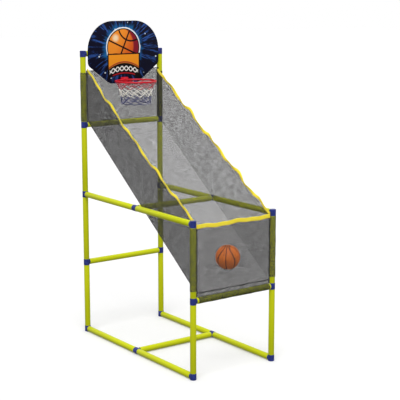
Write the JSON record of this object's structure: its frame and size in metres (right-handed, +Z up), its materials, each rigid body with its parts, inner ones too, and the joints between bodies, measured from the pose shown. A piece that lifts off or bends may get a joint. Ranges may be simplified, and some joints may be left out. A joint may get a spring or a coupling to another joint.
{
  "type": "basketball hoop machine",
  "caption": "Push-fit tube frame carrying a sloping mesh chute with a ball bin at the front, a rounded backboard with a hoop and net at the top, and a small ball.",
  "frame": {"origin": "on the floor, below the centre of the base frame", "axes": "+X to the player's right, +Y away from the player towards the backboard, +Z up"},
  "size_m": [0.4858, 0.9543, 1.5715],
  "materials": {
    "lime_tube": "extruded plastic tube, satin gloss",
    "blue_connector": "moulded plastic, satin",
    "red_hoop": "moulded plastic, gloss",
    "printed_board": "plastic sheet with a printed face, satin",
    "mesh_cloth": "open woven polyester mesh",
    "yellow_binding": "woven binding tape, stitched",
    "net_cord": "braided cord in three colours",
    "orange_ball": "pebbled inflatable vinyl",
    "screw_steel": "zinc plated"
  },
  "bodies": {
    "frame": {"back_post_left_1": "lime_tube", "back_post_left_2": "lime_tube", "back_post_left_3": "lime_tube", "back_post_left_4": "lime_tube", "front_post_left_1": "lime_tube", "front_post_left_2": "lime_tube", "base_rail_left_front": "lime_tube", "base_rail_left_back": "lime_tube", "side_rail_left_front": "lime_tube", "side_rail_left_back": "lime_tube", "back_post_right_1": "lime_tube", "back_post_right_2": "lime_tube", "back_post_right_3": "lime_tube", "back_post_right_4": "lime_tube", "front_post_right_1": "lime_tube", "front_post_right_2": "lime_tube", "base_rail_right_front": "lime_tube", "base_rail_right_back": "lime_tube", "side_rail_right_front": "lime_tube", "side_rail_right_back": "lime_tube", "base_crossbar": "lime_tube", "side_rail_crossbar": "lime_tube", "bin_crossbar": "lime_tube", "back_lower_crossbar": "lime_tube", "back_upper_crossbar": "lime_tube", "top_crossbar": "lime_tube", "base_elbow_front_left": "blue_connector", "base_elbow_back_left": "blue_connector", "base_tee_left": "blue_connector", "bin_tee_left": "blue_connector", "rail_elbow_left": "blue_connector", "rail_tee_left": "blue_connector", "post_tee_left": "blue_connector", "back_lower_tee_left": "blue_connector", "back_upper_tee_left": "blue_connector", "top_elbow_left": "blue_connector", "base_elbow_front_right": "blue_connector", "base_elbow_back_right": "blue_connector", "base_tee_right": "blue_connector", "bin_tee_right": "blue_connector", "rail_elbow_right": "blue_connector", "rail_tee_right": "blue_connector", "post_tee_right": "blue_connector", "back_lower_tee_right": "blue_connector", "back_upper_tee_right": "blue_connector", "top_elbow_right": "blue_connector", "net_side_left": "mesh_cloth", "net_side_right": "mesh_cloth", "net_ramp": "mesh_cloth", "net_front": "mesh_cloth", "net_back": "mesh_cloth", "edge_binding": "yellow_binding", "board_saddle_left": "blue_connector", "hoop_screw_left": "screw_steel", "board_saddle_right": "blue_connector", "hoop_screw_right": "screw_steel", "backboard": "printed_board", "hoop": "red_hoop", "hoop_net": "net_cord"},
    "loose_ball": {"ball": "orange_ball"}
  },
  "joints": [
    {"name": "ball_lift", "type": "slide", "parent": "frame", "child": "loose_ball", "axis": [0, 0, 1], "range_m": [0, 0.35]}
  ]
}
